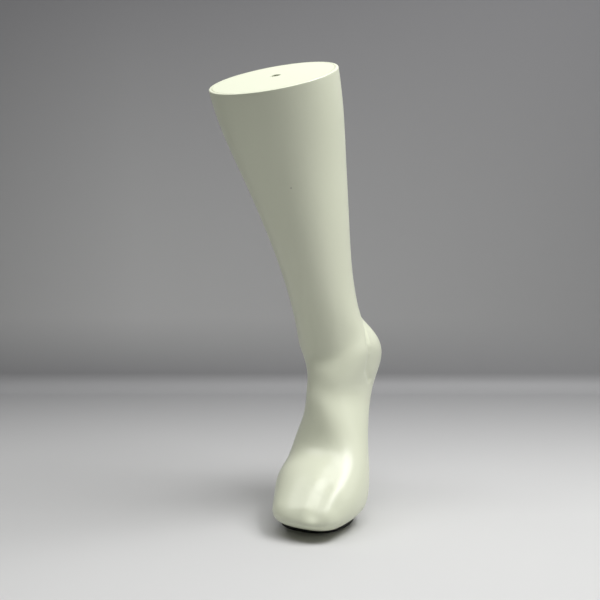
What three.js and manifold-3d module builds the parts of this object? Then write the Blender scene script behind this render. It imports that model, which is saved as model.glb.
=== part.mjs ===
// Display leg form for hosiery: a hollow plastic right leg from just below the knee to the toes,
// standing by itself on the ball of the foot. Millimetres, +Z up, toes towards -Y, inner side of
// the leg towards +X. The origin is on the floor, under the ball of the foot.
import * as THREE from 'three';
import { mergeVertices } from 'three/addons/utils/BufferGeometryUtils.js';
import Module from 'manifold-3d';

const wasm = await Module();
wasm.setup();

// ---------------------------------------------------------------- driving dimensions
const GAP = 0.3; // between two pieces that lie against each other
const WALL = 3; // of the hollow leg
const RIM_RADIUS = 1.2; // rounding of the leg's upper edge

const PAD_THICKNESS = 2.5;
const PLATE_THICKNESS = 2;
const FOOT_OUTLINE = { x: 4.3, y: -14.3, halfWidth: 32.3, halfLength: 36.2, square: 2.4 };
const BASE_SIDES = 48;
const PAD_INSET = 0.6; // the rubber stands this far inside the plate's edge
const SOLE_Z = PAD_THICKNESS + PLATE_THICKNESS + 2 * GAP; // the leg's flat underside
const SOLE_EDGE = 4; // height over which the flat sole turns into the side of the foot
const TUCK = 0.2; // share by which the foot narrows at the sole, towards the next point
const TUCK_MIDDLE = { x: 10, y: -14 };
const TUCK_HEIGHT = 13; // it narrows below this height over the sole
const SIDES = 36; // of the leg's outline, the same outside and inside so that walls stay even
const ROUND_SIDES = 24; // of small round parts and holes
const OUTSIDE_TOE_ROWS = 8;
const INSIDE_TOE_ROWS = 5;
const OVERSHOOT = 1; // by which a cutting tool runs past the surface that it cuts

const SCREW_PLACES = [[-8, -16], [20, -16], [6, -40]];
const SCREW_RADIUS = 2;
const SCREW_LENGTH = 15;
const SCREW_POINT = 1; // chamfer at the tip
const SCREW_CLEARANCE = 2.6; // radius of the holes in the leg's sole
const SOCKET_RADIUS = 1.44; // of the hexagon for a 2.5 mm key
const SOCKET_DEPTH = 1.2;
const INSERT_RADIUS = 3;
const INSERT_LENGTH = 8;
const POCKET_SPARE = 3; // depth of an insert's pocket beyond the insert
const BALLAST_TOP = 42;
const CLEAR_BOX = 300; // side of the box that clears everything above the ballast

const CAP_THICKNESS = 4;
const CAP_SKIRT_DEPTH = 12;
const CAP_SKIRT_WALL = 2.5;
const CAP_DRAFT = 0.03; // the skirt narrows by this much for each millimetre of its depth
const LEDGE_HEIGHT = 7;
const LEDGE_WALL = 4;
const HOLE_RADIUS = 4.75; // of the hanging hole in the cap
const HOLE_SIDES = 32;
const HOLE_X = -30;
const HOLE_BEHIND_MIDDLE = 7;
const NUT_BORE_RADIUS = 4.25; // tapping size of M10
const NUT_BARREL_RADIUS = 7;
const NUT_FLANGE_RADIUS = 11;
const NUT_FLANGE = 1.6;
const NUT_LENGTH = 5;

// Sections of the leg, each in a plane of its own that runs through the leg from the front to the
// back. front and back are [y, z] where the outline crosses the leg's middle plane, middle is the
// x of that plane, half is half the width, and square is 2 for an ellipse and more for a boxier
// outline.
const SECTIONS = [
  { front: [-101, 388], back: [23, 431], middle: -28, half: 57, square: 2.0 }, // rim
  { front: [-84, 354], back: [41, 393], middle: -28, half: 53, square: 2.05 }, // upper calf
  { front: [-62, 313], back: [51, 351], middle: -24, half: 44, square: 2.1 }, // calf
  { front: [-40, 267], back: [55, 302], middle: -18, half: 36, square: 2.1 }, // lower calf
  { front: [-20, 222], back: [58, 251], middle: -13, half: 30, square: 2.1 }, // shin
  { front: [-3, 182], back: [65, 208], middle: -10, half: 29, square: 2.1 }, // tendon
  { front: [5, 158], back: [80, 185], middle: -8, half: 32, square: 2.1 }, // ankle
  { front: [5.5, 147], back: [99, 168], middle: -4, half: 34, square: 2.1 }, // above the heel
  { front: [-0.5, 131], back: [118, 144], middle: -1.5, half: 29, square: 2.15 }, // heel
  { front: [-5.5, 115], back: [104, 115], middle: -2, half: 25, square: 2.2 }, // under the heel
  { front: [-9, 97], back: [76, 88], middle: 1, half: 28, square: 2.2 }, // instep
  { front: [-12, 80], back: [50, 58], middle: 3, half: 35, square: 2.25 }, // arch
  { front: [-19.5, 66.5], back: [28, 27], middle: 6.3, half: 41, square: 2.25 }, // midfoot
  { front: [-35, 57], back: [11, 3], middle: 7.3, half: 44, square: 2.3 }, // ball
  { front: [-51, 46.5], back: [-15, -3], middle: 10.5, half: 40.5, square: 2.3 }, // toe roots
  { front: [-69, 31.5], back: [-41, -1.5], middle: 13, half: 33.5, square: 2.4 }, // toes
];
const TOE_ROUNDING = 0.75; // the toes close this many sections past the last one
const TOE_FULLNESS = 0.6; // under 1 for a blunter tip than an ellipse
const TIP_FLAT = 0.2; // the last row stops this share of a row short and closes flat

// Relief on the leg: a swelling (height above 0) or a hollow that fades over its reach from the
// line between two points, pushed along way.
const RELIEF = [
  // ankle bones, inner and outer
  { from: [20, 30, 186], to: [22, 38, 176], reach: 15, height: 1.5, way: [1, -0.2, 0] },
  { from: [-38, 48, 168], to: [-38, 52, 162], reach: 13, height: 2.2, way: [-1, -0.1, 0] },
  // hollows before the heel, inner and outer
  { from: [18, 66, 190], to: [28, 56, 140], reach: 8, height: -3.5, way: [0.9, 0.4, 0] },
  { from: [-26, 74, 195], to: [-30, 78, 165], reach: 9, height: -3, way: [-0.9, 0.4, 0] },
  // instep: its hollow and the fold over it
  { from: [-6, 2, 124], to: [6, 0, 122], reach: 10, height: -1.5, way: [0, -1, 0.3] },
  { from: [-10, -4, 141], to: [12, -4, 141], reach: 7, height: 1.0, way: [0, -1, 0] },
  // valley beside the big toe
  { from: [28, -32, 56], to: [29, -74, 26], reach: 6, height: -1.8, way: [0, -0.5, 0.85] },
];

// ---------------------------------------------------------------- the leg's surface
// A natural cubic through values at 0, 1, 2 and so on.
function smoothCurve(values) {
  const last = values.length - 1;
  const sweep = [0];
  const right = [0];
  for (let i = 1; i < last; i++) {
    const pivot = 4 - sweep[i - 1];
    sweep[i] = 1 / pivot;
    right[i] = (6 * (values[i + 1] - 2 * values[i] + values[i - 1]) - right[i - 1]) / pivot;
  }
  const bend = new Array(last + 1).fill(0);
  for (let i = last - 1; i > 0; i--) {
    bend[i] = right[i] - sweep[i] * bend[i + 1];
  }
  return (u) => {
    const i = Math.min(Math.max(Math.floor(u), 0), last - 1);
    const t = u - i;
    const s = 1 - t;
    const curved = (s ** 3 - s) * bend[i] + (t ** 3 - t) * bend[i + 1];
    return s * values[i] + t * values[i + 1] + curved / 6;
  };
}

const LAST = SECTIONS.length - 1;
const CALF_END = 0.5; // sections down from the rim; from here the rows may be wider apart
const SHANK_END = 5;
const FOREFOOT = 8; // the section where the ballast's own rows start
const ROW_STEP = 0.25; // sections between two rows where the shape turns quickly

const middleOf = ({ front, back }) => (
  new THREE.Vector2(front[0] + back[0], front[1] + back[1]).divideScalar(2)
);
const pitchBefore = (i) => middleOf(SECTIONS[i - 1]).distanceTo(middleOf(SECTIONS[i]));
const SECTION_PITCH = pitchBefore(1); // from the rim to the next section
const TOE_PITCH = pitchBefore(LAST);
const rim = SECTIONS[0];
const RIM_TILT = Math.atan2(rim.back[1] - rim.front[1], rim.back[0] - rim.front[0]);

const curves = {
  frontY: smoothCurve(SECTIONS.map((s) => s.front[0])),
  frontZ: smoothCurve(SECTIONS.map((s) => s.front[1])),
  backY: smoothCurve(SECTIONS.map((s) => s.back[0])),
  backZ: smoothCurve(SECTIONS.map((s) => s.back[1])),
  middle: smoothCurve(SECTIONS.map((s) => s.middle)),
  half: smoothCurve(SECTIONS.map((s) => s.half)),
  square: smoothCurve(SECTIONS.map((s) => s.square)),
};

const signedPower = (value, power) => Math.sign(value) * Math.abs(value) ** power;

// The larger of two numbers, with the corner between them rounded over a height.
function roundedMax(a, b, height) {
  const near = Math.max(height - Math.abs(a - b), 0) / height;
  return Math.max(a, b) + (near * near * height) / 4;
}

const reliefs = RELIEF.map(({ from, to, reach, height, way }) => ({
  line: new THREE.Line3(new THREE.Vector3(...from), new THREE.Vector3(...to)),
  reach,
  push: new THREE.Vector3(...way).normalize().multiplyScalar(height),
}));

function addRelief(point) {
  const nearest = new THREE.Vector3();
  const moved = point.clone();
  for (const { line, reach, push } of reliefs) {
    line.closestPointToPoint(point, true, nearest);
    const fade = Math.exp(-((nearest.distanceTo(point) / reach) ** 2));
    moved.addScaledVector(push, fade);
  }
  return moved;
}

// The edge of the foot, rounded under: a point narrows towards the foot's middle near the sole.
function tucked(point, sole) {
  const low = Math.min(Math.max(1 - (point.z - sole) / TUCK_HEIGHT, 0), 1);
  const share = TUCK * low * low;
  const x = THREE.MathUtils.lerp(point.x, TUCK_MIDDLE.x, share);
  const y = THREE.MathUtils.lerp(point.y, TUCK_MIDDLE.y, share);
  return new THREE.Vector3(x, y, point.z);
}

// The outline at u sections down from the rim, moved inwards by inset and shrunk about its middle.
function legRing(u, inset, shrink = 1) {
  const front = new THREE.Vector2(curves.frontY(u), curves.frontZ(u));
  const back = new THREE.Vector2(curves.backY(u), curves.backZ(u));
  const centre = front.clone().add(back).multiplyScalar(0.5);
  const reach = front.clone().sub(centre);
  reach.multiplyScalar(((reach.length() - inset) / reach.length()) * shrink);
  const half = (curves.half(u) - inset) * shrink;
  const power = 2 / curves.square(u);
  const points = [];
  for (let k = 0; k < SIDES; k++) {
    const angle = (2 * Math.PI * k) / SIDES;
    const along = signedPower(Math.cos(angle), power);
    const across = signedPower(Math.sin(angle), power);
    const point = addRelief(new THREE.Vector3(
      curves.middle(u) + half * across,
      centre.x + reach.x * along,
      centre.y + reach.y * along,
    ));
    point.z = roundedMax(point.z, SOLE_Z + inset, SOLE_EDGE);
    points.push(tucked(point, SOLE_Z + inset));
  }
  return points;
}

// A closed solid through rings of equal length, with a fan of triangles over each end.
function loft(rings) {
  const sides = rings[0].length;
  const points = rings.flat();
  const index = [];
  for (let r = 0; r < rings.length - 1; r++) {
    for (let k = 0; k < sides; k++) {
      const a = r * sides + k;
      const b = r * sides + ((k + 1) % sides);
      index.push(a, a + sides, b, b, a + sides, b + sides);
    }
  }
  for (const [r, outwards] of [[0, true], [rings.length - 1, false]]) {
    const centre = new THREE.Vector3();
    rings[r].forEach((point) => centre.addScaledVector(point, 1 / sides));
    points.push(centre);
    for (let k = 0; k < sides; k++) {
      const a = r * sides + k;
      const b = r * sides + ((k + 1) % sides);
      index.push(points.length - 1, ...(outwards ? [a, b] : [b, a]));
    }
  }
  const geometry = new THREE.BufferGeometry().setFromPoints(points);
  geometry.setIndex(index);
  return geometry;
}

// The leg as a solid from the sections in rows down to the tip of the toes, which close on a
// quarter of an ellipse.
function legToToes(rows, inset, toeRows) {
  const rings = rows.map(([u, extra]) => legRing(u, inset + extra));
  const rounding = TOE_ROUNDING - inset / TOE_PITCH;
  for (let t = 1; t <= toeRows; t++) {
    const step = t === toeRows ? t - TIP_FLAT : t;
    const angle = (Math.PI / 2) * (step / toeRows);
    rings.push(legRing(LAST + rounding * Math.sin(angle), inset, Math.cos(angle) ** TOE_FULLNESS));
  }
  return loft(rings);
}

// A solid slice of the leg's inside, between two distances down from the rim.
function slice(top, bottom, inset, draft = 0) {
  const rings = [top, (top + bottom) / 2, bottom].map((down) => (
    legRing(down / SECTION_PITCH, inset + draft * (down - top))
  ));
  return loft(rings);
}

// ---------------------------------------------------------------- solids
function solidOf(geometry) {
  const bare = geometry.clone();
  bare.deleteAttribute('normal');
  bare.deleteAttribute('uv');
  const merged = mergeVertices(bare, 1e-4);
  const vertProperties = merged.attributes.position.array;
  const triVerts = new Uint32Array(merged.index.array);
  return new wasm.Manifold(new wasm.Mesh({ numProp: 3, vertProperties, triVerts }));
}

function geometryOf(solid) {
  const { vertProperties, triVerts } = solid.getMesh();
  const geometry = new THREE.BufferGeometry();
  geometry.setAttribute('position', new THREE.BufferAttribute(vertProperties, 3));
  geometry.setIndex(new THREE.BufferAttribute(triVerts, 1));
  geometry.computeVertexNormals();
  return geometry;
}

function cut(geometry, ...tools) {
  return geometryOf(tools.reduce((solid, tool) => solid.subtract(solidOf(tool)), solidOf(geometry)));
}

// A solid of revolution about +Z. The profile is a list of [radius, z], upwards on the outside.
function turned(profile, sides) {
  const points = profile.map(([radius, z]) => new THREE.Vector2(radius, z));
  return new THREE.LatheGeometry(points, sides).rotateX(Math.PI / 2);
}

function rod(radius, bottom, top, sides = ROUND_SIDES) {
  return turned([[0, bottom], [radius, bottom], [radius, top], [0, top]], sides);
}

// ---------------------------------------------------------------- finishes
function finish(color, roughness, metalness) {
  return new THREE.MeshStandardMaterial({ color, roughness, metalness });
}
const ivoryPlastic = () => finish(0xdde0c8, 0.35, 0);
const plainPlastic = () => finish(0xc9cbb8, 0.6, 0);
const plaster = () => finish(0xb9b4a8, 0.9, 0);
const blackPaint = () => finish(0x141414, 0.5, 0.4);
const blackRubber = () => finish(0x222222, 0.85, 0);
const zincSteel = () => finish(0xb8bcc0, 0.35, 0.9);
const brass = () => finish(0xb08d45, 0.4, 0.9);

function piece(name, geometry, material) {
  const mesh = new THREE.Mesh(geometry, material);
  mesh.name = name;
  return mesh;
}

// ---------------------------------------------------------------- the leg and its foot
const screwPoint = ([x, y]) => new THREE.Vector3(x, y, 0);

// One rod at each screw's place.
function screwRods(radius, bottom, top) {
  return SCREW_PLACES.map((place) => rod(radius, bottom, top).translate(...screwPoint(place)));
}

function legShell() {
  const outerRows = [];
  for (const turn of [0, 30, 60]) {
    const angle = THREE.MathUtils.degToRad(turn);
    const down = RIM_RADIUS * (1 - Math.cos(angle));
    outerRows.push([down / SECTION_PITCH, RIM_RADIUS * (1 - Math.sin(angle))]);
  }
  outerRows.push([RIM_RADIUS / SECTION_PITCH, 0]);
  for (let u = ROW_STEP; u <= LAST; u += ROW_STEP * (u >= CALF_END && u < SHANK_END ? 2 : 1)) {
    outerRows.push([u, 0]);
  }
  const innerRows = [];
  for (let u = -ROW_STEP; u <= LAST; u += ROW_STEP * (u < CALF_END ? 1 : 2)) {
    innerRows.push([u, 0]);
  }
  const outside = legToToes(outerRows, 0, OUTSIDE_TOE_ROWS);
  const hollow = legToToes(innerRows, WALL, INSIDE_TOE_ROWS);
  const holes = screwRods(SCREW_CLEARANCE, SOLE_Z - OVERSHOOT, SOLE_Z + WALL + OVERSHOOT);
  return piece('leg_shell', cut(outside, hollow, ...holes), ivoryPlastic());
}

function ballastBlock() {
  const rows = [];
  for (let u = FOREFOOT; u <= LAST; u += 2 * ROW_STEP) {
    rows.push([u, 0]);
  }
  const filling = legToToes(rows, WALL + 2 * GAP, INSIDE_TOE_ROWS);
  const above = new THREE.BoxGeometry(CLEAR_BOX, CLEAR_BOX, CLEAR_BOX);
  above.translate(0, 0, BALLAST_TOP + CLEAR_BOX / 2);
  const floor = SOLE_Z + WALL + 2 * GAP;
  const pocketTop = floor + INSERT_LENGTH + POCKET_SPARE;
  const pockets = screwRods(INSERT_RADIUS + GAP, floor - OVERSHOOT, pocketTop);
  return piece('ballast_block', cut(filling, above, ...pockets), plaster());
}

function footOutline(inset) {
  const { x, y, halfWidth, halfLength, square } = FOOT_OUTLINE;
  const points = [];
  for (let k = 0; k < BASE_SIDES; k++) {
    const angle = (2 * Math.PI * k) / BASE_SIDES;
    const across = signedPower(Math.cos(angle), 2 / square);
    const along = signedPower(Math.sin(angle), 2 / square);
    points.push(new THREE.Vector2(x + (halfWidth - inset) * across, y + (halfLength - inset) * along));
  }
  return new THREE.Shape(points);
}

function solePad() {
  const options = { depth: PAD_THICKNESS, bevelEnabled: false };
  return piece('sole_pad', new THREE.ExtrudeGeometry(footOutline(PAD_INSET), options), blackRubber());
}

function solePlate() {
  const bottom = PAD_THICKNESS + GAP;
  const options = { depth: PLATE_THICKNESS, bevelEnabled: false };
  const plate = new THREE.ExtrudeGeometry(footOutline(0), options).translate(0, 0, bottom);
  const slant = GAP * Math.SQRT2;
  const sinks = SCREW_PLACES.map((place) => turned([
    [0, bottom - OVERSHOOT],
    [2 * SCREW_RADIUS + slant + OVERSHOOT, bottom - OVERSHOOT],
    [SCREW_RADIUS + slant, bottom + PLATE_THICKNESS],
    [SCREW_RADIUS + slant, bottom + PLATE_THICKNESS + OVERSHOOT],
    [0, bottom + PLATE_THICKNESS + OVERSHOOT],
  ], ROUND_SIDES).translate(...screwPoint(place)));
  return piece('sole_plate', cut(plate, ...sinks), blackPaint());
}

function plateScrew(place, number) {
  const bottom = PAD_THICKNESS + GAP;
  const body = turned([
    [0, bottom],
    [2 * SCREW_RADIUS, bottom],
    [SCREW_RADIUS, bottom + SCREW_RADIUS],
    [SCREW_RADIUS, bottom + SCREW_LENGTH - SCREW_POINT],
    [SCREW_RADIUS - SCREW_POINT, bottom + SCREW_LENGTH],
    [0, bottom + SCREW_LENGTH],
  ], ROUND_SIDES);
  const socket = rod(SOCKET_RADIUS, bottom - OVERSHOOT, bottom + SOCKET_DEPTH, 6);
  const screw = piece(`plate_screw_${number}`, cut(body, socket), zincSteel());
  screw.position.copy(screwPoint(place));
  return screw;
}

function plateInsert(place, number) {
  const bottom = SOLE_Z + WALL + 2 * GAP;
  const bore = SCREW_RADIUS + GAP;
  const profile = [
    [bore, bottom],
    [INSERT_RADIUS, bottom],
    [INSERT_RADIUS, bottom + INSERT_LENGTH],
    [bore, bottom + INSERT_LENGTH],
    [bore, bottom],
  ];
  const insert = piece(`plate_insert_${number}`, turned(profile, ROUND_SIDES), brass());
  insert.position.copy(screwPoint(place));
  return insert;
}

// ---------------------------------------------------------------- the cap in the leg's mouth
// The hanging hole's place on the top face; its z axis is the face's normal.
function holeFrame() {
  const centre = middleOf(rim);
  const frame = new THREE.Object3D();
  frame.position.set(
    HOLE_X,
    centre.x + HOLE_BEHIND_MIDDLE * Math.cos(RIM_TILT),
    centre.y + HOLE_BEHIND_MIDDLE * Math.sin(RIM_TILT),
  );
  frame.rotation.x = RIM_TILT;
  frame.updateMatrix();
  return frame;
}

function topCap() {
  const lid = slice(0, CAP_SKIRT_DEPTH, WALL + GAP, CAP_DRAFT);
  const inside = slice(CAP_THICKNESS, CAP_SKIRT_DEPTH + OVERSHOOT, WALL + GAP + CAP_SKIRT_WALL);
  const hole = rod(HOLE_RADIUS, -CAP_SKIRT_DEPTH, OVERSHOOT, HOLE_SIDES);
  hole.applyMatrix4(holeFrame().matrix);
  return piece('top_cap', cut(lid, inside, hole), ivoryPlastic());
}

function capLedge() {
  const top = CAP_SKIRT_DEPTH + GAP;
  const bottom = top + LEDGE_HEIGHT;
  const ring = slice(top, bottom, WALL + GAP);
  const opening = slice(top - OVERSHOOT, bottom + OVERSHOOT, WALL + GAP + LEDGE_WALL);
  return piece('cap_ledge', cut(ring, opening), plainPlastic());
}

function hangerNut() {
  const top = -(CAP_THICKNESS + GAP);
  const profile = [
    [NUT_BORE_RADIUS, top - NUT_LENGTH],
    [NUT_BARREL_RADIUS, top - NUT_LENGTH],
    [NUT_BARREL_RADIUS, top - NUT_FLANGE],
    [NUT_FLANGE_RADIUS, top - NUT_FLANGE],
    [NUT_FLANGE_RADIUS, top],
    [NUT_BORE_RADIUS, top],
    [NUT_BORE_RADIUS, top - NUT_LENGTH],
  ];
  const nut = piece('hanger_nut', turned(profile, HOLE_SIDES), zincSteel());
  nut.applyMatrix4(holeFrame().matrix);
  return nut;
}

// ---------------------------------------------------------------- the assembly
const leg = new THREE.Group();
leg.add(legShell(), capLedge(), ballastBlock(), solePlate(), solePad());
SCREW_PLACES.forEach((place, k) => {
  leg.add(plateScrew(place, k + 1), plateInsert(place, k + 1));
});

const cap = new THREE.Group();
cap.add(topCap(), hangerNut());

const group = new THREE.Group();
group.add(leg, cap);

export default group;
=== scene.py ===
"""Looks of a display leg form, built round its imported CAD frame.

The form is a hollow ivory plastic right leg that stands on the ball of its foot. Each sub-assembly
is a class that refines the CAD solids it is responsible for, adds the detail that the CAD leaves
out, and dresses everything in procedural finishes. All lengths are in metres.
"""

import logging
import math
from dataclasses import dataclass
from enum import Enum

import bpy
import numpy as np
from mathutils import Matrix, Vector


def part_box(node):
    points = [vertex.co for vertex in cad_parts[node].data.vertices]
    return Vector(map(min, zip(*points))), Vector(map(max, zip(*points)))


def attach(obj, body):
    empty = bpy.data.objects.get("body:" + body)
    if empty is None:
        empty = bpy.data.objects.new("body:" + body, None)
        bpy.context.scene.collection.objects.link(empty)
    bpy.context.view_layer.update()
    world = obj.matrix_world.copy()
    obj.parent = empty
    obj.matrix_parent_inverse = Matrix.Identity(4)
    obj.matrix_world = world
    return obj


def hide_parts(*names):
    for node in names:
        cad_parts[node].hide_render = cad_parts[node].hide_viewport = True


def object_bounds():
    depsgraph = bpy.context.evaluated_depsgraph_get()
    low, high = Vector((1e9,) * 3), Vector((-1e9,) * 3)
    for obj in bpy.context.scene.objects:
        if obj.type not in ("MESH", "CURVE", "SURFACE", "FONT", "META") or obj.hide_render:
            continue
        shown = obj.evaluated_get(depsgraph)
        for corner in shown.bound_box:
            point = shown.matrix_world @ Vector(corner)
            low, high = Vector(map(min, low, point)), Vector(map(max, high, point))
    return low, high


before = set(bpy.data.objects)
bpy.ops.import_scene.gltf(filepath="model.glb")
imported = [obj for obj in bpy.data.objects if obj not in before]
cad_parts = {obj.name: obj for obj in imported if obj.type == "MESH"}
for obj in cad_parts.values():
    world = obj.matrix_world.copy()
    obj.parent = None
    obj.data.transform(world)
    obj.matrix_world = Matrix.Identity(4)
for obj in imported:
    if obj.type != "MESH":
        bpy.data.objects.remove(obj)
cad_low, cad_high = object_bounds()

log = logging.getLogger("leg_form")

MERGE_DISTANCE = 1e-5


class Body(Enum):
    """The CAD bodies that pieces ride on."""

    LEG = "leg"
    CAP = "cap"


class Slot(Enum):
    """The record's material slots."""

    IVORY = "ivory_plastic"
    NATURAL = "natural_plastic"
    ZINC = "zinc_steel"
    PLASTER = "plaster"
    BLACK_STEEL = "black_steel"
    RUBBER = "black_rubber"
    BRASS = "brass"


# ---------------------------------------------------------------- shader node groups
@dataclass(frozen=True)
class Wiring:
    """Adds nodes to one node tree and links them.

    Args:
        tree: The node tree of a material or of a node group.
    """

    tree: bpy.types.NodeTree

    def add(self, kind: str, **settings: object) -> bpy.types.Node:
        """Add a node.

        Args:
            kind: The node's type, such as "ShaderNodeMath".
            settings: Attributes to set on the new node.

        Returns:
            The new node.
        """
        node = self.tree.nodes.new(kind)
        for name, value in settings.items():
            setattr(node, name, value)
        return node

    def join(self, source: bpy.types.NodeSocket, target: bpy.types.NodeSocket) -> None:
        """Link one socket to another."""
        self.tree.links.new(source, target)

    def math(self, operation: str, first: object, second: object = 0.0) -> bpy.types.NodeSocket:
        """Add a maths node whose inputs are sockets or plain numbers.

        Args:
            operation: The node's operation, such as "MULTIPLY".
            first: The first input.
            second: The second input.

        Returns:
            The node's output socket.
        """
        node = self.add("ShaderNodeMath", operation=operation)
        for socket, value in zip(node.inputs, (first, second)):
            self.feed(value, socket)
        return node.outputs[0]

    def feed(self, value: object, socket: bpy.types.NodeSocket) -> None:
        """Link a socket into another, or set that one to a plain value.

        Args:
            value: The socket to link from, or the plain value.
            socket: The socket to link to or to set.
        """
        if isinstance(value, bpy.types.NodeSocket):
            self.join(value, socket)
        else:
            socket.default_value = value

    def noise(
        self, point: bpy.types.NodeSocket, scale: object, detail: float
    ) -> bpy.types.NodeSocket:
        """Add a noise texture.

        Args:
            point: Where the noise is read.
            scale: Its scale, a socket or a number.
            detail: Its octaves.

        Returns:
            The noise's value, about 0 to 1.
        """
        node = self.add("ShaderNodeTexNoise")
        self.join(point, node.inputs["Vector"])
        self.feed(scale, node.inputs["Scale"])
        node.inputs["Detail"].default_value = detail
        return node.outputs["Fac"]

    def spread(self, value: bpy.types.NodeSocket, low: float, high: float) -> bpy.types.NodeSocket:
        """Stretch a value and clamp it.

        Args:
            value: The value's socket.
            low: What becomes 0.
            high: What becomes 1.

        Returns:
            The stretched value's socket, 0 to 1.
        """
        node = self.add("ShaderNodeMapRange", clamp=True)
        self.join(value, node.inputs["Value"])
        node.inputs["From Min"].default_value = low
        node.inputs["From Max"].default_value = high
        return node.outputs["Result"]

    def blend(self, amount: object, first: object, second: object) -> bpy.types.NodeSocket:
        """Mix two colours.

        Args:
            amount: 0 for the first colour, 1 for the second.
            first: A colour, or a socket that gives one.
            second: A colour, or a socket that gives one.

        Returns:
            The mixed colour's socket.
        """
        node = self.add("ShaderNodeMix", data_type="RGBA")
        self.feed(amount, node.inputs["Factor"])
        self.feed(first, node.inputs[6])
        self.feed(second, node.inputs[7])
        return node.outputs[2]


@dataclass(frozen=True)
class Effect:
    """A surface effect that several finishes share, kept as one shader node group.

    Args:
        name: The group's name.
        inputs: Name and default of each number input.
        output: Name of the single output.
    """

    name: str
    inputs: tuple[tuple[str, float], ...]
    output: str

    def group(self) -> bpy.types.NodeTree:
        """Give the effect's node group, made on first use.

        Returns:
            The node group.
        """
        known = bpy.data.node_groups.get(self.name)
        if known:
            return known
        tree = bpy.data.node_groups.new(self.name, "ShaderNodeTree")
        for name, default in self.inputs:
            socket = tree.interface.new_socket(name, in_out="INPUT", socket_type="NodeSocketFloat")
            socket.default_value = default
        tree.interface.new_socket(self.output, in_out="OUTPUT", socket_type="NodeSocketFloat")
        wiring = Wiring(tree)
        source = wiring.add("NodeGroupInput")
        point = wiring.add("ShaderNodeTexCoord").outputs["Object"]
        target = wiring.add("NodeGroupOutput")
        wiring.join(self.pattern(wiring, source.outputs, point), target.inputs[self.output])
        return tree

    def pattern(
        self,
        wiring: Wiring,
        given: bpy.types.NodeOutputs,
        point: bpy.types.NodeSocket,
    ) -> bpy.types.NodeSocket:
        """Build the effect's nodes.

        Args:
            wiring: The group's wiring.
            given: The group's input values.
            point: Object coordinates.

        Returns:
            The socket that carries the result.
        """
        raise NotImplementedError

    def place(self, wiring: Wiring, **values: float) -> bpy.types.NodeSocket:
        """Put the group into a material.

        Args:
            wiring: The material's wiring.
            values: Its input values, with spaces in names written as underscores.

        Returns:
            The group's output socket.
        """
        node = wiring.add("ShaderNodeGroup", node_tree=self.group())
        for name, value in values.items():
            node.inputs[name.replace("_", " ")].default_value = value
        return node.outputs[self.output]


class OrangePeel(Effect):
    """The soft, shallow unevenness of a moulded or painted skin, as a height."""

    FINER = 9.0

    def pattern(
        self,
        wiring: Wiring,
        given: bpy.types.NodeOutputs,
        point: bpy.types.NodeSocket,
    ) -> bpy.types.NodeSocket:
        """Layer a broad swell and a fine ripple.

        Args:
            wiring: The group's wiring.
            given: The group's input values.
            point: Object coordinates.

        Returns:
            The height's socket.
        """
        broad = wiring.noise(point, given["Scale"], 1.0)
        fine = wiring.noise(point, wiring.math("MULTIPLY", given["Scale"], self.FINER), 2.0)
        ripple = wiring.math("MULTIPLY", fine, given["Fine"])
        return wiring.math("ADD", broad, ripple)


class Mottle(Effect):
    """A slow variation over the surface, from 0 to 1."""

    BAND = (0.3, 0.7)

    def pattern(
        self,
        wiring: Wiring,
        given: bpy.types.NodeOutputs,
        point: bpy.types.NodeSocket,
    ) -> bpy.types.NodeSocket:
        """Read slow noise and raise its contrast.

        Args:
            wiring: The group's wiring.
            given: The group's input values.
            point: Object coordinates.

        Returns:
            The variation's socket.
        """
        return wiring.spread(wiring.noise(point, given["Scale"], 3.0), *self.BAND)


class HandlingMarks(Effect):
    """Faint rubbed patches and fine scuffs, as a mask."""

    STRETCH = (1.0, 1.0, 0.12)
    TURN = (0.5, 0.35, 0.0)
    STREAK_BAND = (0.56, 0.72)
    PATCH_SCALE = 14.0
    PATCH_BAND = (0.45, 0.65)

    def pattern(
        self,
        wiring: Wiring,
        given: bpy.types.NodeOutputs,
        point: bpy.types.NodeSocket,
    ) -> bpy.types.NodeSocket:
        """Multiply smeared fine streaks by broad patches.

        Args:
            wiring: The group's wiring.
            given: The group's input values.
            point: Object coordinates.

        Returns:
            The mask's socket.
        """
        stretch = wiring.add("ShaderNodeMapping")
        stretch.inputs["Scale"].default_value = self.STRETCH
        stretch.inputs["Rotation"].default_value = self.TURN
        wiring.join(point, stretch.inputs["Vector"])
        smeared = wiring.noise(stretch.outputs[0], given["Scale"], 4.0)
        streaks = wiring.spread(smeared, *self.STREAK_BAND)
        patches = wiring.spread(wiring.noise(point, self.PATCH_SCALE, 2.0), *self.PATCH_BAND)
        return wiring.math("MULTIPLY", streaks, patches)


class EdgeWear(Effect):
    """Where edges stand proud and get rubbed, as a mask."""

    PROUD_BAND = (0.505, 0.56)
    BROKEN_BAND = (0.35, 0.6)

    def pattern(
        self,
        wiring: Wiring,
        given: bpy.types.NodeOutputs,
        point: bpy.types.NodeSocket,
    ) -> bpy.types.NodeSocket:
        """Take the raised edges and break them up with noise.

        Args:
            wiring: The group's wiring.
            given: The group's input values.
            point: Object coordinates.

        Returns:
            The mask's socket.
        """
        pointed = wiring.add("ShaderNodeNewGeometry").outputs["Pointiness"]
        raised = wiring.spread(pointed, *self.PROUD_BAND)
        broken = wiring.spread(wiring.noise(point, given["Scale"], 3.0), *self.BROKEN_BAND)
        return wiring.math("MULTIPLY", raised, broken)


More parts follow.
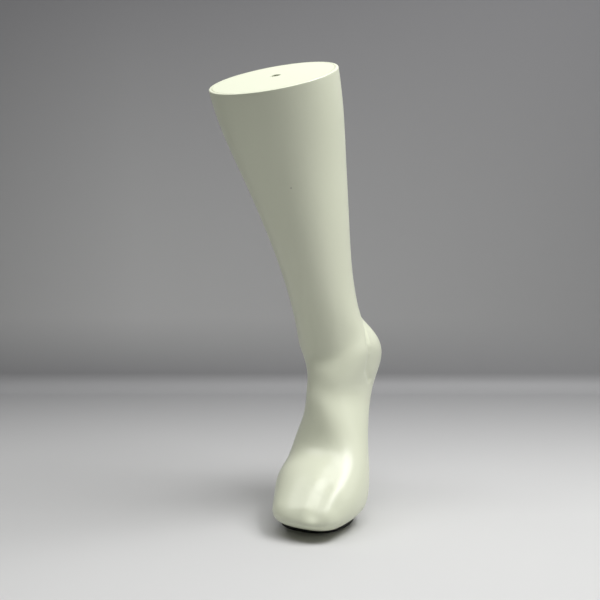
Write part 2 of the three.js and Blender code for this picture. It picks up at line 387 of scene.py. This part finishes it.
class Dust(Effect):
    """Thin dust on what faces up, as a mask."""

    SLOPE_BAND = (0.4, 1.0)
    GRAIN_BAND = (0.4, 0.75)

    def pattern(
        self,
        wiring: Wiring,
        given: bpy.types.NodeOutputs,
        point: bpy.types.NodeSocket,
    ) -> bpy.types.NodeSocket:
        """Fade by how far the surface faces up, with a fine grain.

        Args:
            wiring: The group's wiring.
            given: The group's input values.
            point: Object coordinates.

        Returns:
            The mask's socket.
        """
        normal = wiring.add("ShaderNodeNewGeometry").outputs["Normal"]
        split = wiring.add("ShaderNodeSeparateXYZ")
        wiring.join(normal, split.inputs[0])
        upward = wiring.spread(split.outputs["Z"], *self.SLOPE_BAND)
        grain = wiring.spread(wiring.noise(point, given["Scale"], 4.0), *self.GRAIN_BAND)
        return wiring.math("MULTIPLY", upward, grain)


class Grime(Effect):
    """Dirt that gathers just above the floor, as a mask."""

    HEIGHTS = (0.004, 0.022)
    BROKEN_BAND = (0.4, 0.7)

    def pattern(
        self,
        wiring: Wiring,
        given: bpy.types.NodeOutputs,
        point: bpy.types.NodeSocket,
    ) -> bpy.types.NodeSocket:
        """Fade with height and break it up with noise.

        Args:
            wiring: The group's wiring.
            given: The group's input values.
            point: Object coordinates.

        Returns:
            The mask's socket.
        """
        split = wiring.add("ShaderNodeSeparateXYZ")
        wiring.join(point, split.inputs[0])
        low = wiring.math("SUBTRACT", 1.0, wiring.spread(split.outputs["Z"], *self.HEIGHTS))
        broken = wiring.spread(wiring.noise(point, given["Scale"], 4.0), *self.BROKEN_BAND)
        return wiring.math("MULTIPLY", low, broken)


ORANGE_PEEL = OrangePeel("orange_peel", (("Scale", 120.0), ("Fine", 0.1)), "Height")
MOTTLE = Mottle("mottle", (("Scale", 8.0),), "Value")
MARKS = HandlingMarks("handling_marks", (("Scale", 90.0),), "Mask")
EDGE_WEAR = EdgeWear("edge_wear", (("Scale", 180.0),), "Mask")
DUST = Dust("dust", (("Scale", 900.0),), "Mask")
GRIME = Grime("grime", (("Scale", 160.0),), "Mask")

Colour = tuple[float, float, float]


def opaque(colour: Colour) -> tuple[float, float, float, float]:
    """Give a colour with full alpha."""
    return (*colour, 1.0)


# ---------------------------------------------------------------- finishes
DUST_COLOUR: Colour = (0.62, 0.6, 0.56)
GRIME_COLOUR: Colour = (0.2, 0.19, 0.16)
SPECK_COLOUR: Colour = (0.16, 0.15, 0.11)


@dataclass(frozen=True)
class Finish:
    """A procedural finish for one kind of surface.

    Args:
        name: The material's name.
        colour: Its main colour.
        second: The colour that the mottle drifts to.
        drift: How far it drifts, 0 to 1.
        mottle_scale: Scale of that drift.
        roughness: Roughness of the clean surface.
        rubbed: Roughness that handling marks add.
        metallic: 1 for bare metal.
        peel_depth: Height of the surface's unevenness.
        peel_scale: Scale of the surface's unevenness.
        peel_fine: Share of fine ripple in it.
        worn: The colour that shows where edges are rubbed.
        wear: How strongly they are rubbed, 0 to 1.
        dust: How strongly dust covers it, 0 to 1.
        grime: How strongly floor dirt covers it, 0 to 1.
        sheen: Weight of a soft sheen.
    """

    name: str
    colour: Colour
    second: Colour
    drift: float = 0.5
    mottle_scale: float = 9.0
    roughness: float = 0.4
    rubbed: float = 0.12
    metallic: float = 0.0
    peel_depth: float = 0.0
    peel_scale: float = 120.0
    peel_fine: float = 0.1
    worn: Colour = (0.5, 0.5, 0.5)
    wear: float = 0.0
    dust: float = 0.0
    grime: float = 0.0
    sheen: float = 0.0

    def colour_of(self, wiring: Wiring) -> bpy.types.NodeSocket:
        """Build the colour from its drift, wear, dust and grime.

        Args:
            wiring: The material's wiring.

        Returns:
            The colour's socket.
        """
        drift = wiring.math("MULTIPLY", MOTTLE.place(wiring, Scale=self.mottle_scale), self.drift)
        colour = wiring.blend(drift, opaque(self.colour), opaque(self.second))
        if self.wear:
            mask = wiring.math("MULTIPLY", EDGE_WEAR.place(wiring), self.wear)
            colour = wiring.blend(mask, colour, opaque(self.worn))
        if self.dust:
            mask = wiring.math("MULTIPLY", DUST.place(wiring), self.dust)
            colour = wiring.blend(mask, colour, opaque(DUST_COLOUR))
        if self.grime:
            mask = wiring.math("MULTIPLY", GRIME.place(wiring), self.grime)
            colour = wiring.blend(mask, colour, opaque(GRIME_COLOUR))
        return colour

    def material(self) -> bpy.types.Material:
        """Build the material, or give the one already built.

        Returns:
            The finish's material.
        """
        known = bpy.data.materials.get(self.name)
        if known:
            return known
        material = bpy.data.materials.new(self.name)
        material.use_nodes = True
        wiring = Wiring(material.node_tree)
        shader = material.node_tree.nodes["Principled BSDF"]
        wiring.join(self.colour_of(wiring), shader.inputs["Base Color"])
        rubbed = wiring.math("MULTIPLY", MARKS.place(wiring), self.rubbed)
        wiring.join(wiring.math("ADD", rubbed, self.roughness), shader.inputs["Roughness"])
        shader.inputs["Metallic"].default_value = self.metallic
        shader.inputs["Sheen Weight"].default_value = self.sheen
        if self.peel_depth:
            bump = wiring.add("ShaderNodeBump")
            bump.inputs["Distance"].default_value = self.peel_depth
            height = ORANGE_PEEL.place(wiring, Scale=self.peel_scale, Fine=self.peel_fine)
            wiring.join(height, bump.inputs["Height"])
            wiring.join(bump.outputs["Normal"], shader.inputs["Normal"])
        return material

    def dress(self, *pieces: bpy.types.Object) -> None:
        """Give the finish to pieces as their only material.

        Args:
            pieces: The pieces to dress.
        """
        for piece in pieces:
            piece.data.materials.clear()
            piece.data.materials.append(self.material())


@dataclass(frozen=True)
class SpeckledFinish(Finish):
    """A finish with a single dark moulding speck.

    Args:
        speck: Where the speck is.
        speck_radius: Its radius.
        speck_strength: How dark it is, 0 to 1.
    """

    speck: tuple[float, float, float] = (0.0, 0.0, 0.0)
    speck_radius: float = 0.0008
    speck_strength: float = 0.6

    def colour_of(self, wiring: Wiring) -> bpy.types.NodeSocket:
        """Build the colour and darken it at the speck.

        Args:
            wiring: The material's wiring.

        Returns:
            The colour's socket.
        """
        colour = super().colour_of(wiring)
        point = wiring.add("ShaderNodeTexCoord").outputs["Object"]
        apart = wiring.add("ShaderNodeVectorMath", operation="DISTANCE")
        wiring.join(point, apart.inputs[0])
        apart.inputs[1].default_value = self.speck
        away = wiring.spread(apart.outputs["Value"], 0.5 * self.speck_radius, self.speck_radius)
        spot = wiring.math("SUBTRACT", 1.0, away)
        strength = wiring.math("MULTIPLY", spot, self.speck_strength)
        return wiring.blend(strength, colour, opaque(SPECK_COLOUR))


IVORY = SpeckledFinish(
    name="ivory_moulded_plastic",
    colour=(0.775, 0.8, 0.635),
    second=(0.745, 0.78, 0.605),
    drift=0.6,
    mottle_scale=6.0,
    roughness=0.3,
    rubbed=0.03,
    peel_depth=0.00006,
    peel_scale=130.0,
    peel_fine=0.05,
    dust=0.05,
    grime=0.3,
    speck=(-0.0028, -0.0537, 0.3105),
)
NATURAL = Finish(
    name="natural_plastic",
    colour=(0.6, 0.61, 0.5),
    second=(0.52, 0.54, 0.43),
    roughness=0.5,
    peel_depth=0.0001,
    peel_scale=200.0,
)
ZINC = Finish(
    name="zinc_plated_steel",
    colour=(0.62, 0.64, 0.66),
    second=(0.5, 0.53, 0.56),
    mottle_scale=160.0,
    roughness=0.32,
    rubbed=0.2,
    metallic=1.0,
    peel_depth=0.00002,
    peel_scale=900.0,
    worn=(0.75, 0.75, 0.75),
    wear=0.4,
)
BRASS = Finish(
    name="plain_brass",
    colour=(0.69, 0.5, 0.22),
    second=(0.52, 0.36, 0.15),
    mottle_scale=140.0,
    roughness=0.34,
    metallic=1.0,
    peel_depth=0.00002,
    peel_scale=900.0,
)
PLASTER = Finish(
    name="cast_plaster",
    colour=(0.62, 0.59, 0.52),
    second=(0.5, 0.47, 0.4),
    mottle_scale=30.0,
    roughness=0.9,
    peel_depth=0.0006,
    peel_scale=160.0,
    peel_fine=0.5,
)
BLACK_PAINT = Finish(
    name="black_enamelled_steel",
    colour=(0.012, 0.012, 0.013),
    second=(0.022, 0.021, 0.02),
    mottle_scale=60.0,
    roughness=0.42,
    peel_depth=0.00004,
    peel_scale=700.0,
    worn=(0.2, 0.2, 0.2),
    wear=0.35,
    dust=0.1,
)
RUBBER = Finish(
    name="dark_grey_rubber",
    colour=(0.03, 0.03, 0.031),
    second=(0.05, 0.049, 0.047),
    mottle_scale=80.0,
    roughness=0.85,
    peel_depth=0.00012,
    peel_scale=900.0,
    peel_fine=0.4,
    dust=0.2,
    sheen=0.2,
)


# ---------------------------------------------------------------- modelling helpers
def select_only(piece: bpy.types.Object) -> None:
    """Deselect everything and make one piece the selected, active one.

    Args:
        piece: The piece.
    """
    bpy.ops.object.select_all(action="DESELECT")
    piece.select_set(True)
    bpy.context.view_layer.objects.active = piece


def copy_of(node: str, name: str) -> bpy.types.Object:
    """Copy a CAD node's solid as a new piece with its loose triangles merged.

    Args:
        node: The CAD node.
        name: The new piece's name.

    Returns:
        The new piece, selected and active.
    """
    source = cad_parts[node]
    piece = bpy.data.objects.new(name, source.data.copy())
    bpy.context.scene.collection.objects.link(piece)
    select_only(piece)
    bpy.ops.object.mode_set(mode="EDIT")
    bpy.ops.mesh.select_all(action="SELECT")
    bpy.ops.mesh.remove_doubles(threshold=MERGE_DISTANCE)
    bpy.ops.mesh.tris_convert_to_quads(
        face_threshold=math.radians(60.0), shape_threshold=math.radians(60.0)
    )
    bpy.ops.object.mode_set(mode="OBJECT")
    return piece


def apply_modifier(piece: bpy.types.Object, kind: str, **settings: object) -> None:
    """Add a modifier to a piece and apply it at once.

    Args:
        piece: The piece.
        kind: The modifier's type.
        settings: Attributes to set on it.
    """
    select_only(piece)
    modifier = piece.modifiers.new(kind.lower(), kind)
    for name, value in settings.items():
        setattr(modifier, name, value)
    bpy.ops.object.modifier_apply(modifier=modifier.name)


def round_edges(piece: bpy.types.Object, width: float, segments: int = 2) -> None:
    """Round a piece's sharp edges.

    Args:
        piece: The piece.
        width: Width of the rounding.
        segments: Facets across it.
    """
    apply_modifier(
        piece,
        "BEVEL",
        width=width,
        segments=segments,
        limit_method="ANGLE",
        angle_limit=math.radians(38.0),
        use_clamp_overlap=True,
    )


def subdivide(piece: bpy.types.Object, levels: int) -> None:
    """Smooth a piece with a subdivision surface."""
    apply_modifier(piece, "SUBSURF", levels=levels, render_levels=levels)


def crease_sharp_edges(piece: bpy.types.Object, sharper_than_deg: float) -> None:
    """Keep a piece's sharp edges crisp under subdivision.

    Args:
        piece: The piece.
        sharper_than_deg: Edges that turn by more than this are kept crisp.
    """
    select_only(piece)
    bpy.ops.object.mode_set(mode="EDIT")
    bpy.ops.mesh.select_mode(type="EDGE")
    bpy.ops.mesh.select_all(action="DESELECT")
    bpy.ops.mesh.edges_select_sharp(sharpness=math.radians(sharper_than_deg))
    bpy.ops.transform.edge_crease(value=1.0)
    bpy.ops.mesh.select_mode(type="VERT")
    bpy.ops.object.mode_set(mode="OBJECT")


def shade_smooth(piece: bpy.types.Object, up_to_deg: float = 40.0) -> None:
    """Shade a piece smooth across edges up to an angle."""
    select_only(piece)
    bpy.ops.object.shade_smooth_by_angle(angle=math.radians(up_to_deg))


def settle(piece: bpy.types.Object, finish: Finish, slot: Slot, body: Body, *nodes: str) -> None:
    """Dress a finished piece and tie it to the frame.

    Args:
        piece: The finished piece.
        finish: Its finish.
        slot: The record's slot for it; not used.
        body: The body that it rides on.
        nodes: The CAD nodes that it stands for.
    """
    finish.dress(piece)
    if nodes:
        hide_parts(*nodes)
    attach(piece, body.value)
    log.info("%s: %d faces on body %s", piece.name, len(piece.data.polygons), body.value)


# ---------------------------------------------------------------- the leg
Share = tuple[float, float, float]


@dataclass(frozen=True)
class Push:
    """A smooth ridge or groove pressed into the leg's skin along a path.

    Args:
        name: What it shapes.
        path: The points that it runs through, as shares of the leg shell's box.
        depth: How far it presses in, or out if it is below 0.
        reach: How far to its sides it fades out.
    """

    name: str
    path: tuple[Share, ...]
    depth: float
    reach: float


RELIEF = (
    Push("big toe", ((0.892, 0.24, 0.088), (0.892, 0.16, 0.062)), -0.001, 0.013),
    Push("second toe", ((0.775, 0.23, 0.1), (0.768, 0.15, 0.061)), -0.001, 0.013),
    Push("valley beside the big toe", ((0.834, 0.24, 0.095), (0.827, 0.13, 0.056)), 0.001, 0.011),
    Push(
        "heel crease",
        (
            (0.746, 0.748, 0.434),
            (0.827, 0.675, 0.369),
            (0.819, 0.684, 0.31),
            (0.797, 0.744, 0.279),
        ),
        0.002,
        0.006,
    ),
)


@dataclass
class LegShell:
    """The moulded leg itself.

    Args:
        crisp_deg: Edges that turn by more than this stay crisp.
        levels: Levels of subdivision.
        relief: Fine relief that the CAD solid is too coarse to hold.
        path_step: Distance between the vertices picked along a ridge or groove.
    """

    crisp_deg: float = 50.0
    levels: int = 2
    relief: tuple[Push, ...] = RELIEF
    path_step: float = 0.001

    def build(self) -> bpy.types.Object:
        """Build the leg's fine skin and put it on its body.

        Returns:
            The finished skin.
        """
        skin = copy_of("leg_shell", "leg_skin")
        crease_sharp_edges(skin, self.crisp_deg)
        subdivide(skin, self.levels)
        for push in self.relief:
            self.press(skin, push)
        shade_smooth(skin)
        settle(skin, IVORY, Slot.IVORY, Body.LEG, "leg_shell")
        return skin

    def spot(self, share: Share) -> Vector:
        """Turn shares of the leg shell's box into a point.

        Args:
            share: The share of the box along each axis.

        Returns:
            The point.
        """
        low, high = (Vector(corner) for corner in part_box("leg_shell"))
        return Vector(l + (h - l) * part for l, h, part in zip(low, high, share))

    def press(self, skin: bpy.types.Object, push: Push) -> None:
        """Press one ridge or groove into the skin, along the surface's mean normal there.

        Args:
            skin: The leg's skin.
            push: The ridge or groove.
        """
        select_only(skin)
        bpy.ops.object.mode_set(mode="EDIT")
        bpy.ops.mesh.select_all(action="DESELECT")
        bpy.ops.object.mode_set(mode="OBJECT")
        outwards = Vector()
        for number in self.vertices_along(skin, push):
            vertex = skin.data.vertices[number]
            vertex.select = True
            outwards += vertex.normal
        bpy.ops.object.mode_set(mode="EDIT")
        bpy.ops.transform.translate(
            value=outwards.normalized() * -push.depth,
            use_proportional_edit=True,
            proportional_edit_falloff="SMOOTH",
            proportional_size=push.reach,
            use_proportional_connected=True,
        )
        bpy.ops.object.mode_set(mode="OBJECT")
        log.info("pressed the %s into %s", push.name, skin.name)

    def vertices_along(self, skin: bpy.types.Object, push: Push) -> set[int]:
        """Find the skin's vertices along a ridge or groove.

        Args:
            skin: The leg's skin.
            push: The ridge or groove.

        Returns:
            The vertices' numbers.
        """
        places = np.empty(len(skin.data.vertices) * 3, np.float32)
        skin.data.vertices.foreach_get("co", places)
        places = places.reshape(-1, 3)
        corners = [self.spot(share) for share in push.path]
        found = set()
        for start, end in zip(corners, corners[1:]):
            steps = math.ceil((end - start).length / self.path_step)
            for step in range(steps + 1):
                aim = np.array(start.lerp(end, step / steps))
                found.add(int(np.linalg.norm(places - aim, axis=1).argmin()))
        return found


# ---------------------------------------------------------------- the cap
@dataclass
class TopCap:
    """The push-in cap with its hanger nut, and the ledge that it sits on.

    Args:
        edge: Rounding of the moulded cap's edges.
        nut_edge: Rounding of the nut's edges.
        levels: Levels of subdivision.
    """

    edge: float = 0.0005
    nut_edge: float = 0.0003
    levels: int = 1

    def build(self) -> None:
        """Build the cap, the nut and the ledge."""
        lid = self.softened("top_cap", "cap_lid", self.edge)
        settle(lid, IVORY, Slot.IVORY, Body.CAP, "top_cap")
        nut = self.softened("hanger_nut", "flanged_nut", self.nut_edge)
        settle(nut, ZINC, Slot.ZINC, Body.CAP, "hanger_nut")
        ledge = self.softened("cap_ledge", "mouth_ledge", self.edge)
        settle(ledge, NATURAL, Slot.NATURAL, Body.LEG, "cap_ledge")

    def softened(self, node: str, name: str, edge: float) -> bpy.types.Object:
        """Copy a CAD node with its edges rounded and its curves smoothed.

        Args:
            node: The CAD node.
            name: The new piece's name.
            edge: Rounding of its edges.

        Returns:
            The new piece.
        """
        piece = copy_of(node, name)
        round_edges(piece, edge)
        subdivide(piece, self.levels)
        shade_smooth(piece)
        return piece


# ---------------------------------------------------------------- the foot's base
@dataclass
class SoleBase:
    """The steel plate under the forefoot and the rubber pad glued to it.

    Args:
        plate_edge: Rounding of the plate's edges.
        pad_edge: Rounding of the pad's edges.
        pad_facets: Facets across the pad's rounding.
    """

    plate_edge: float = 0.0004
    pad_edge: float = 0.0007
    pad_facets: int = 3

    def build(self) -> None:
        """Build the plate and the pad."""
        plate = copy_of("sole_plate", "base_plate")
        round_edges(plate, self.plate_edge)
        shade_smooth(plate)
        settle(plate, BLACK_PAINT, Slot.BLACK_STEEL, Body.LEG, "sole_plate")
        pad = copy_of("sole_pad", "grip_pad")
        round_edges(pad, self.pad_edge, self.pad_facets)
        shade_smooth(pad)
        settle(pad, RUBBER, Slot.RUBBER, Body.LEG, "sole_pad")


def dress_hidden_parts() -> None:
    """Give the CAD solids that stay as they are their finishes."""
    for name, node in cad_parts.items():
        if name.startswith("plate_screw"):
            ZINC.dress(node)
        elif name.startswith("plate_insert"):
            BRASS.dress(node)
        elif name == "ballast_block":
            PLASTER.dress(node)


# ---------------------------------------------------------------- studio
@dataclass(frozen=True)
class Lamp:
    """A rectangular soft light, placed as the camera sees the set.

    Args:
        name: The light's name.
        right: Metres to the right of the leg's origin.
        nearer: Metres towards the camera.
        up: Metres above the floor.
        width: Its width.
        height: Its height.
        power: Its power in watts.
    """

    name: str
    right: float
    nearer: float
    up: float
    width: float
    height: float
    power: float


@dataclass
class Studio:
    """A plain pale floor that sweeps up into a grey wall, with painted shade and a painted glow in
    their paint, soft lamps and the camera.

    Args:
        azimuth_deg: Where the camera stands round the leg; 0 looks along +Y.
        pitch_deg: How far it looks down.
        distance: From the leg's origin to the camera, along the floor.
        sideways: How far the camera's axis passes the origin on the left.
        camera_height: Its height above the floor.
        focal_length_mm: On a 36 mm sensor.
        wall_distance: From the leg's origin back to the wall.
        sweep_radius: Radius of the curve between the floor and the wall.
        sweep_facets: Facets across that curve.
        half_width: Half the width of floor and wall.
        floor_length: How far the floor runs towards the camera.
        wall_height: Height of the wall.
        floor_near: Colour of the floor at the leg and before it.
        floor_painted_shade: Painted shade, the darker colour that the floor fades to at the wall,
            where the lamps light it less.
        floor_colour_ends: Height on the wall up to which the floor's colour fades out.
        paint_roughness: Roughness of floor and wall.
        wall_low: Colour of the wall above the floor, the light end of its painted shade.
        wall_painted_shade_top: Painted shade, the darker colour of the wall at the top of its ramp.
        wall_painted_shade_side: Painted shade, the darker colour that the wall drifts to at both
            sides.
        wall_ramp: Height over which the wall's painted shade deepens.
        side_reach: How far to the side the painted shade deepens.
        side_strength: How strong the painted shade is there, 0 to 1.
        painted_glow_left: How far to the left of the origin the painted glow on the wall is
            brightest.
        sky_colour: Colour of the sky's even light.
        fill: Strength of that light.
        distance_tone: Grey that is seen past the backdrop's edges.
        aim_share: The lamps point at this share of the form's height.
        lamps: The lights.
    """

    azimuth_deg: float = 27.7
    pitch_deg: float = 5.72
    distance: float = 0.8613
    sideways: float = 0.0196
    camera_height: float = 0.2936
    focal_length_mm: float = 55.4
    wall_distance: float = 0.6
    sweep_radius: float = 0.03
    sweep_facets: int = 24
    half_width: float = 3.0
    floor_length: float = 3.0
    wall_height: float = 3.0
    # Painted shade: the floor's colour darkens from the leg back to the wall.
    floor_near: Colour = (0.61, 0.61, 0.605)
    floor_painted_shade: Colour = (0.29, 0.29, 0.295)
    floor_colour_ends: float = 0.12
    paint_roughness: float = 0.6
    # Painted shade and a painted glow in the wall's colour.
    wall_low: Colour = (0.5, 0.5, 0.495)
    wall_painted_shade_top: Colour = (0.13, 0.13, 0.135)
    wall_painted_shade_side: Colour = (0.1, 0.1, 0.105)
    wall_ramp: float = 0.65
    side_reach: float = 0.9
    side_strength: float = 0.55
    painted_glow_left: float = 0.28
    sky_colour: Colour = (0.95, 0.97, 1.0)
    fill: float = 0.02
    distance_tone: float = 0.3
    aim_share: float = 0.4
    lamps: tuple[Lamp, ...] = (
        Lamp("overhead", 0.0, 0.18, 1.4, 0.8, 0.8, 9.5),
        Lamp("overhead_right", 0.7, 0.0, 1.2, 0.6, 0.6, 9.8),
        Lamp("overhead_left", -0.7, 0.0, 1.2, 0.6, 0.6, 3.4),
        Lamp("front_right", 0.55, 0.4, 1.2, 0.35, 0.35, 3.4),
        Lamp("right_side", 1.3, 0.0, 0.5, 0.6, 0.6, 0.9),
    )

    def point(self, right: float, nearer: float, up: float) -> Vector:
        """Turn a place as the camera sees it into the part's frame.

        Args:
            right: Metres to the right of the leg's origin.
            nearer: Metres towards the camera.
            up: Metres above the floor.

        Returns:
            The place in the part's frame.
        """
        turn = math.radians(self.azimuth_deg)
        rightward = Vector((math.cos(turn), math.sin(turn), 0.0))
        toward = Vector((math.sin(turn), -math.cos(turn), 0.0))
        return rightward * right + toward * nearer + Vector((0.0, 0.0, up))

    def build(self) -> None:
        """Build the camera, the lamps, the sky and the backdrop."""
        self.place_camera()
        for lamp in self.lamps:
            self.place_lamp(lamp)
        self.make_backdrop()
        self.light_sky()

    def place_camera(self) -> None:
        """Put the camera where it sees the leg from the front and a little above."""
        camera = bpy.data.objects.new("camera", bpy.data.cameras.new("camera"))
        bpy.context.scene.collection.objects.link(camera)
        camera.data.lens = self.focal_length_mm
        camera.data.sensor_width = 36.0
        camera.location = self.point(-self.sideways, self.distance, self.camera_height)
        camera.rotation_euler = (
            math.radians(90.0 - self.pitch_deg),
            0.0,
            math.radians(self.azimuth_deg),
        )
        bpy.context.scene.camera = camera

    def place_lamp(self, lamp: Lamp) -> None:
        """Hang one lamp and aim it at the leg.

        Args:
            lamp: The lamp.
        """
        data = bpy.data.lights.new(lamp.name, "AREA")
        data.shape = "RECTANGLE"
        data.size = lamp.width
        data.size_y = lamp.height
        data.energy = lamp.power
        light = bpy.data.objects.new(lamp.name, data)
        bpy.context.scene.collection.objects.link(light)
        light.location = self.point(lamp.right, lamp.nearer, lamp.up)
        aim = Vector((0.0, 0.0, self.aim_share * cad_high.z)) - light.location
        light.rotation_mode = "QUATERNION"
        light.rotation_quaternion = aim.to_track_quat("-Z", "Y")

    def make_backdrop(self) -> None:
        """Make the floor, its sweep and the wall as one sheet that can't be seen from behind."""
        bpy.ops.object.select_all(action="DESELECT")
        bpy.ops.mesh.primitive_plane_add(size=2.0)
        sheet = bpy.context.active_object
        sheet.name = "backdrop"
        outline = [
            self.point(-self.half_width, self.floor_length, 0.0),
            self.point(self.half_width, self.floor_length, 0.0),
            self.point(-self.half_width, -self.wall_distance, 0.0),
            self.point(self.half_width, -self.wall_distance, 0.0),
        ]
        for vertex, place in zip(sheet.data.vertices, outline):
            vertex.co = place
        bpy.ops.object.mode_set(mode="EDIT")
        bpy.ops.mesh.select_mode(type="EDGE")
        bpy.ops.mesh.select_all(action="DESELECT")
        bpy.ops.object.mode_set(mode="OBJECT")
        for edge in sheet.data.edges:
            ends = [sheet.data.vertices[i].co for i in edge.vertices]
            edge.select = all(self.depth_of(end) > 0.5 * self.wall_distance for end in ends)
        bpy.ops.object.mode_set(mode="EDIT")
        bpy.ops.mesh.extrude_region_move(
            TRANSFORM_OT_translate={"value": (0.0, 0.0, self.wall_height)}
        )
        bpy.ops.object.mode_set(mode="OBJECT")
        apply_modifier(
            sheet,
            "BEVEL",
            width=self.sweep_radius,
            offset_type="OFFSET",
            segments=self.sweep_facets,
            limit_method="ANGLE",
            angle_limit=math.radians(30.0),
        )
        shade_smooth(sheet, 60.0)
        sheet.data.materials.append(self.backdrop_material())

    def depth_of(self, place: Vector) -> float:
        """How far behind the leg's origin a place is, as the camera sees it."""
        return -place.dot(self.point(0.0, 1.0, 0.0))

    def backdrop_material(self) -> bpy.types.Material:
        """Build matt paint, pale on the floor and grey on the wall with painted shade and a painted
        glow, that can't be seen from behind.

        Returns:
            The backdrop's material.
        """
        material = bpy.data.materials.new("backdrop_paint")
        material.use_nodes = True
        wiring = Wiring(material.node_tree)
        shader = material.node_tree.nodes["Principled BSDF"]
        point = wiring.add("ShaderNodeTexCoord").outputs["Object"]
        split = wiring.add("ShaderNodeSeparateXYZ")
        wiring.join(point, split.inputs[0])
        height = split.outputs["Z"]
        behind = self.along(wiring, point, self.point(0.0, -1.0, 0.0))
        across = self.along(wiring, point, self.point(1.0, 0.0, 0.0))
        wall = self.wall_colour(wiring, height, across)
        # Painted shade: the floor's colour darkens from the leg back to the wall, standing in for
        # the lamps' light falling off.
        near = wiring.spread(behind, self.wall_distance, 0.0)
        floor = wiring.blend(near, opaque(self.floor_painted_shade), opaque(self.floor_near))
        rise = wiring.spread(height, self.sweep_radius, self.floor_colour_ends)
        wiring.join(wiring.blend(rise, floor, wall), shader.inputs["Base Color"])
        shader.inputs["Roughness"].default_value = self.paint_roughness
        clear = wiring.add("ShaderNodeBsdfTransparent")
        either = wiring.add("ShaderNodeMixShader")
        facing = wiring.add("ShaderNodeNewGeometry").outputs["Backfacing"]
        wiring.join(facing, either.inputs[0])
        wiring.join(shader.outputs[0], either.inputs[1])
        wiring.join(clear.outputs[0], either.inputs[2])
        wiring.join(either.outputs[0], material.node_tree.nodes["Material Output"].inputs[0])
        return material

    def wall_colour(
        self, wiring: Wiring, height: bpy.types.NodeSocket, across: bpy.types.NodeSocket
    ) -> bpy.types.NodeSocket:
        """Paint shade on the wall: darker upwards and to both sides of a painted glow left of the
        leg.

        Args:
            wiring: The material's wiring.
            height: Height above the floor.
            across: Distance to the right of the leg's origin.

        Returns:
            The wall's colour's socket.
        """
        # Painted shade: the wall darkens upwards, standing in for the overhead lamps lighting it
        # less.
        upward = wiring.spread(height, 0.0, self.wall_ramp)
        wall = wiring.blend(upward, opaque(self.wall_low), opaque(self.wall_painted_shade_top))
        # Painted glow and painted shade: lightest a little left of the leg, darker towards both
        # sides.
        aside = wiring.math("ABSOLUTE", wiring.math("ADD", across, self.painted_glow_left))
        side = wiring.spread(aside, 0.0, self.side_reach)
        dim = wiring.math("MULTIPLY", side, self.side_strength)
        return wiring.blend(dim, wall, opaque(self.wall_painted_shade_side))

    def along(
        self, wiring: Wiring, point: bpy.types.NodeSocket, way: Vector
    ) -> bpy.types.NodeSocket:
        """Measure how far a point lies along a direction.

        Args:
            wiring: The material's wiring.
            point: The point's socket.
            way: The direction.

        Returns:
            The distance's socket.
        """
        product = wiring.add("ShaderNodeVectorMath", operation="DOT_PRODUCT")
        wiring.join(point, product.inputs[0])
        product.inputs[1].default_value = way
        return product.outputs["Value"]

    def light_sky(self) -> None:
        """Fill the set with an even, dim light behind a plain grey distance."""
        world = bpy.data.worlds.new("fill")
        world.use_nodes = True
        bpy.context.scene.world = world
        wiring = Wiring(world.node_tree)
        background = world.node_tree.nodes["Background"]
        background.inputs["Color"].default_value = opaque(self.sky_colour)
        seen = wiring.add("ShaderNodeLightPath").outputs["Is Camera Ray"]
        extra = wiring.math("MULTIPLY", seen, self.distance_tone - self.fill)
        wiring.join(wiring.math("ADD", extra, self.fill), background.inputs["Strength"])
        bpy.context.scene.view_settings.view_transform = "Standard"


def main() -> None:
    """Build the whole form and its studio."""
    logging.basicConfig(level=logging.INFO, format="%(message)s")
    Studio().build()
    LegShell().build()
    TopCap().build()
    SoleBase().build()
    dress_hidden_parts()


if __name__ == "__main__":
    main()
